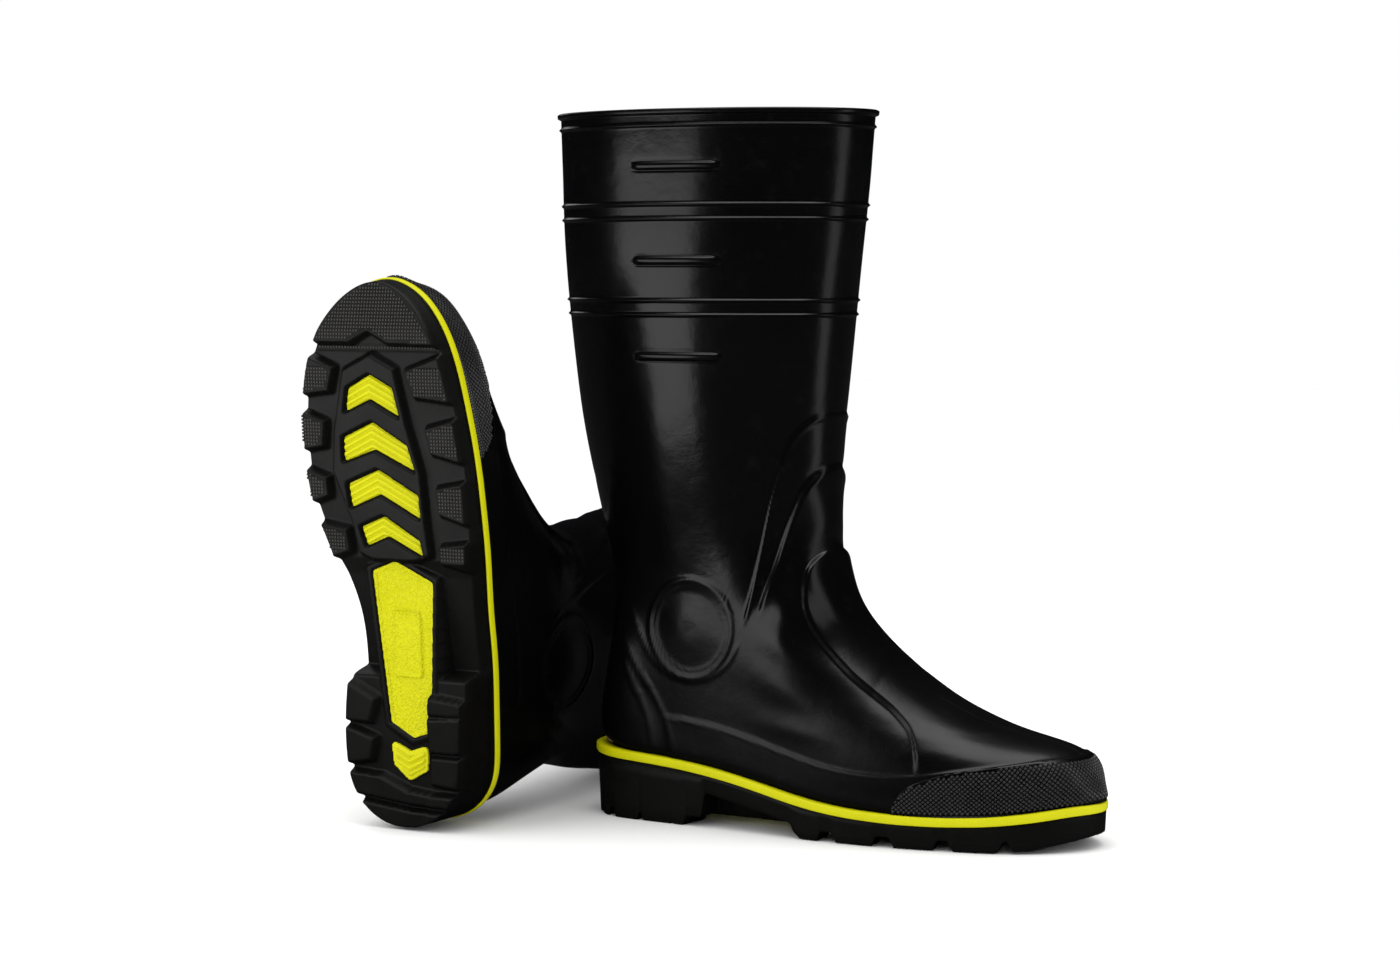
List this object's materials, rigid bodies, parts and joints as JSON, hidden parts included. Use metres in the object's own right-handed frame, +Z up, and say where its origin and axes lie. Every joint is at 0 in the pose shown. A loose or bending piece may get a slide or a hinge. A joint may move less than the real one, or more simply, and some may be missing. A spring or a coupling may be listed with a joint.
{
  "type": "fire boots",
  "caption": "Tall moulded safety boots as a pair: one stands, the other lies on its back with its lugged sole showing.",
  "frame": {"origin": "rear edge of the standing right boot's heel on the floor, on the boot's centre line", "axes": "+X from heel to toe of the standing right boot, +Y to its inner side, +Z up"},
  "size_m": [0.4184, 0.4112, 0.397],
  "materials": {
    "black_upper": "glossy moulded",
    "yellow_midsole": "satin moulded, fine grain",
    "black_outsole": "matte moulded, knurled lugs",
    "knit_lining": "knitted",
    "fibre_board": "pressed fibre",
    "pad_foam": "closed-cell foam",
    "footbed_fabric": "felt over foam"
  },
  "bodies": {
    "right_foot": {"right_foot_shell": "black_upper", "right_toe_guard": "black_upper", "right_ankle_flex_zone": "black_upper", "right_lining": "knit_lining", "right_insole_board": "fibre_board", "right_heel_pad": "pad_foam", "right_midsole": "yellow_midsole", "right_outsole": "black_outsole"},
    "right_leg": {"right_shaft": "black_upper"},
    "right_insole": {"right_footbed": "footbed_fabric"},
    "left_foot": {"left_foot_shell": "black_upper", "left_toe_guard": "black_upper", "left_ankle_flex_zone": "black_upper", "left_lining": "knit_lining", "left_insole_board": "fibre_board", "left_heel_pad": "pad_foam", "left_midsole": "yellow_midsole", "left_outsole": "black_outsole"},
    "left_leg": {"left_shaft": "black_upper"},
    "left_insole": {"left_footbed": "footbed_fabric"}
  },
  "joints": [
    {"name": "right_ankle_flex", "type": "hinge", "parent": "right_foot", "child": "right_leg", "pos_m": [0.075, 0, 0.11], "axis": [0, 1, 0], "range_deg": [-10, 20], "stiffness_Nm_per_rad": 4, "deforming": ["right_ankle_flex_zone", "right_lining"]},
    {"name": "right_footbed_lift", "type": "hinge", "parent": "right_foot", "child": "right_insole", "pos_m": [0.2915, 0, 0.025], "axis": [0, 1, 0], "range_deg": [0, 4.5]},
    {"name": "left_ankle_flex", "type": "hinge", "parent": "left_foot", "child": "left_leg", "pos_m": [-0.053, -0.02584, 0.08165], "axis": [1, 0, 0], "range_deg": [-10, 20], "stiffness_Nm_per_rad": 4, "deforming": ["left_ankle_flex_zone", "left_lining"]},
    {"name": "left_footbed_lift", "type": "hinge", "parent": "left_foot", "child": "left_insole", "pos_m": [-0.053, -0.12404, 0.29249], "axis": [1, 0, 0], "range_deg": [0, 4.5]},
    {"name": "left_boot_slide", "type": "slide", "parent": "right_foot", "child": "left_foot", "axis": [-1, 0, 0], "range_m": [0, 0.25]}
  ]
}
